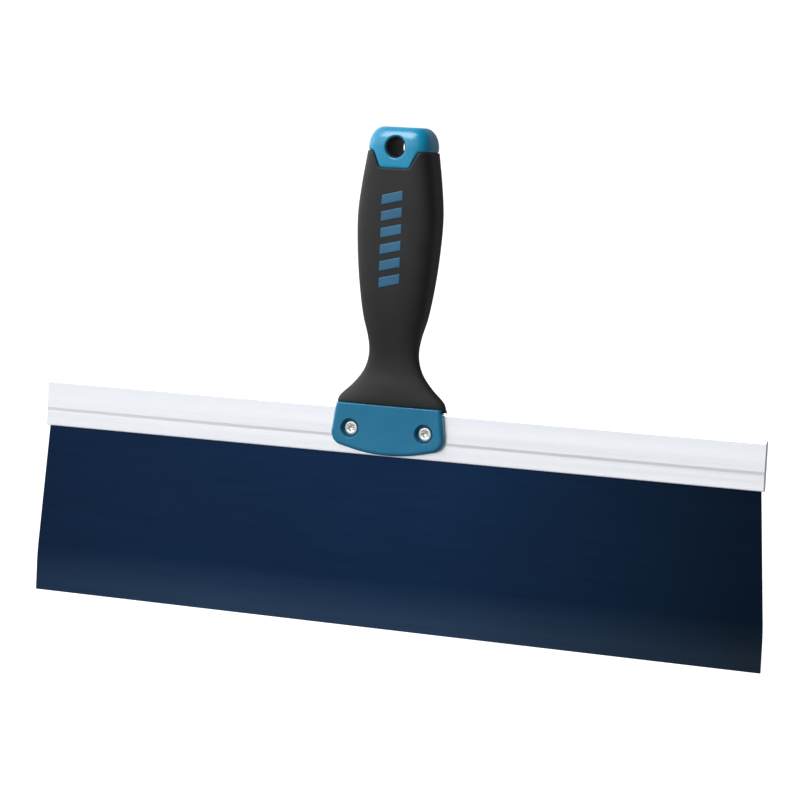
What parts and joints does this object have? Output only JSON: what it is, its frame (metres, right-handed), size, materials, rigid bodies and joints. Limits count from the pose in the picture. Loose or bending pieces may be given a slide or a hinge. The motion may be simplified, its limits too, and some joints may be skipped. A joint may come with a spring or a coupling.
{
  "type": "drywall taping knife",
  "caption": "Wide blued-steel blade in an aluminium spine, with a soft-grip handle clamped astride the spine and a hang hole at its end.",
  "frame": {"origin": "middle of the blade's working edge, in the blade's mid-plane", "axes": "+X along the blade, -Y out of the front face, +Z from the working edge up the handle"},
  "size_m": [0.3556, 0.0227, 0.2268],
  "materials": {
    "blued_steel": "blued spring steel, finely brushed along the blade, satin",
    "aluminium": "mill-finish extrusion, satin",
    "teal_plastic": "moulded polypropylene, semi-gloss",
    "soft_grip": "soft-touch thermoplastic rubber, matt",
    "bright_steel": "nickel-plated steel, bright"
  },
  "bodies": {
    "root": {"blade": "blued_steel", "spine": "aluminium", "handle_core": "teal_plastic", "grip": "soft_grip", "hang_hole_lining": "soft_grip", "grip_emblem": "teal_plastic", "screw_left": "bright_steel", "screw_right": "bright_steel", "sleeve_nut_left": "bright_steel", "sleeve_nut_right": "bright_steel"}
  },
  "joints": []
}
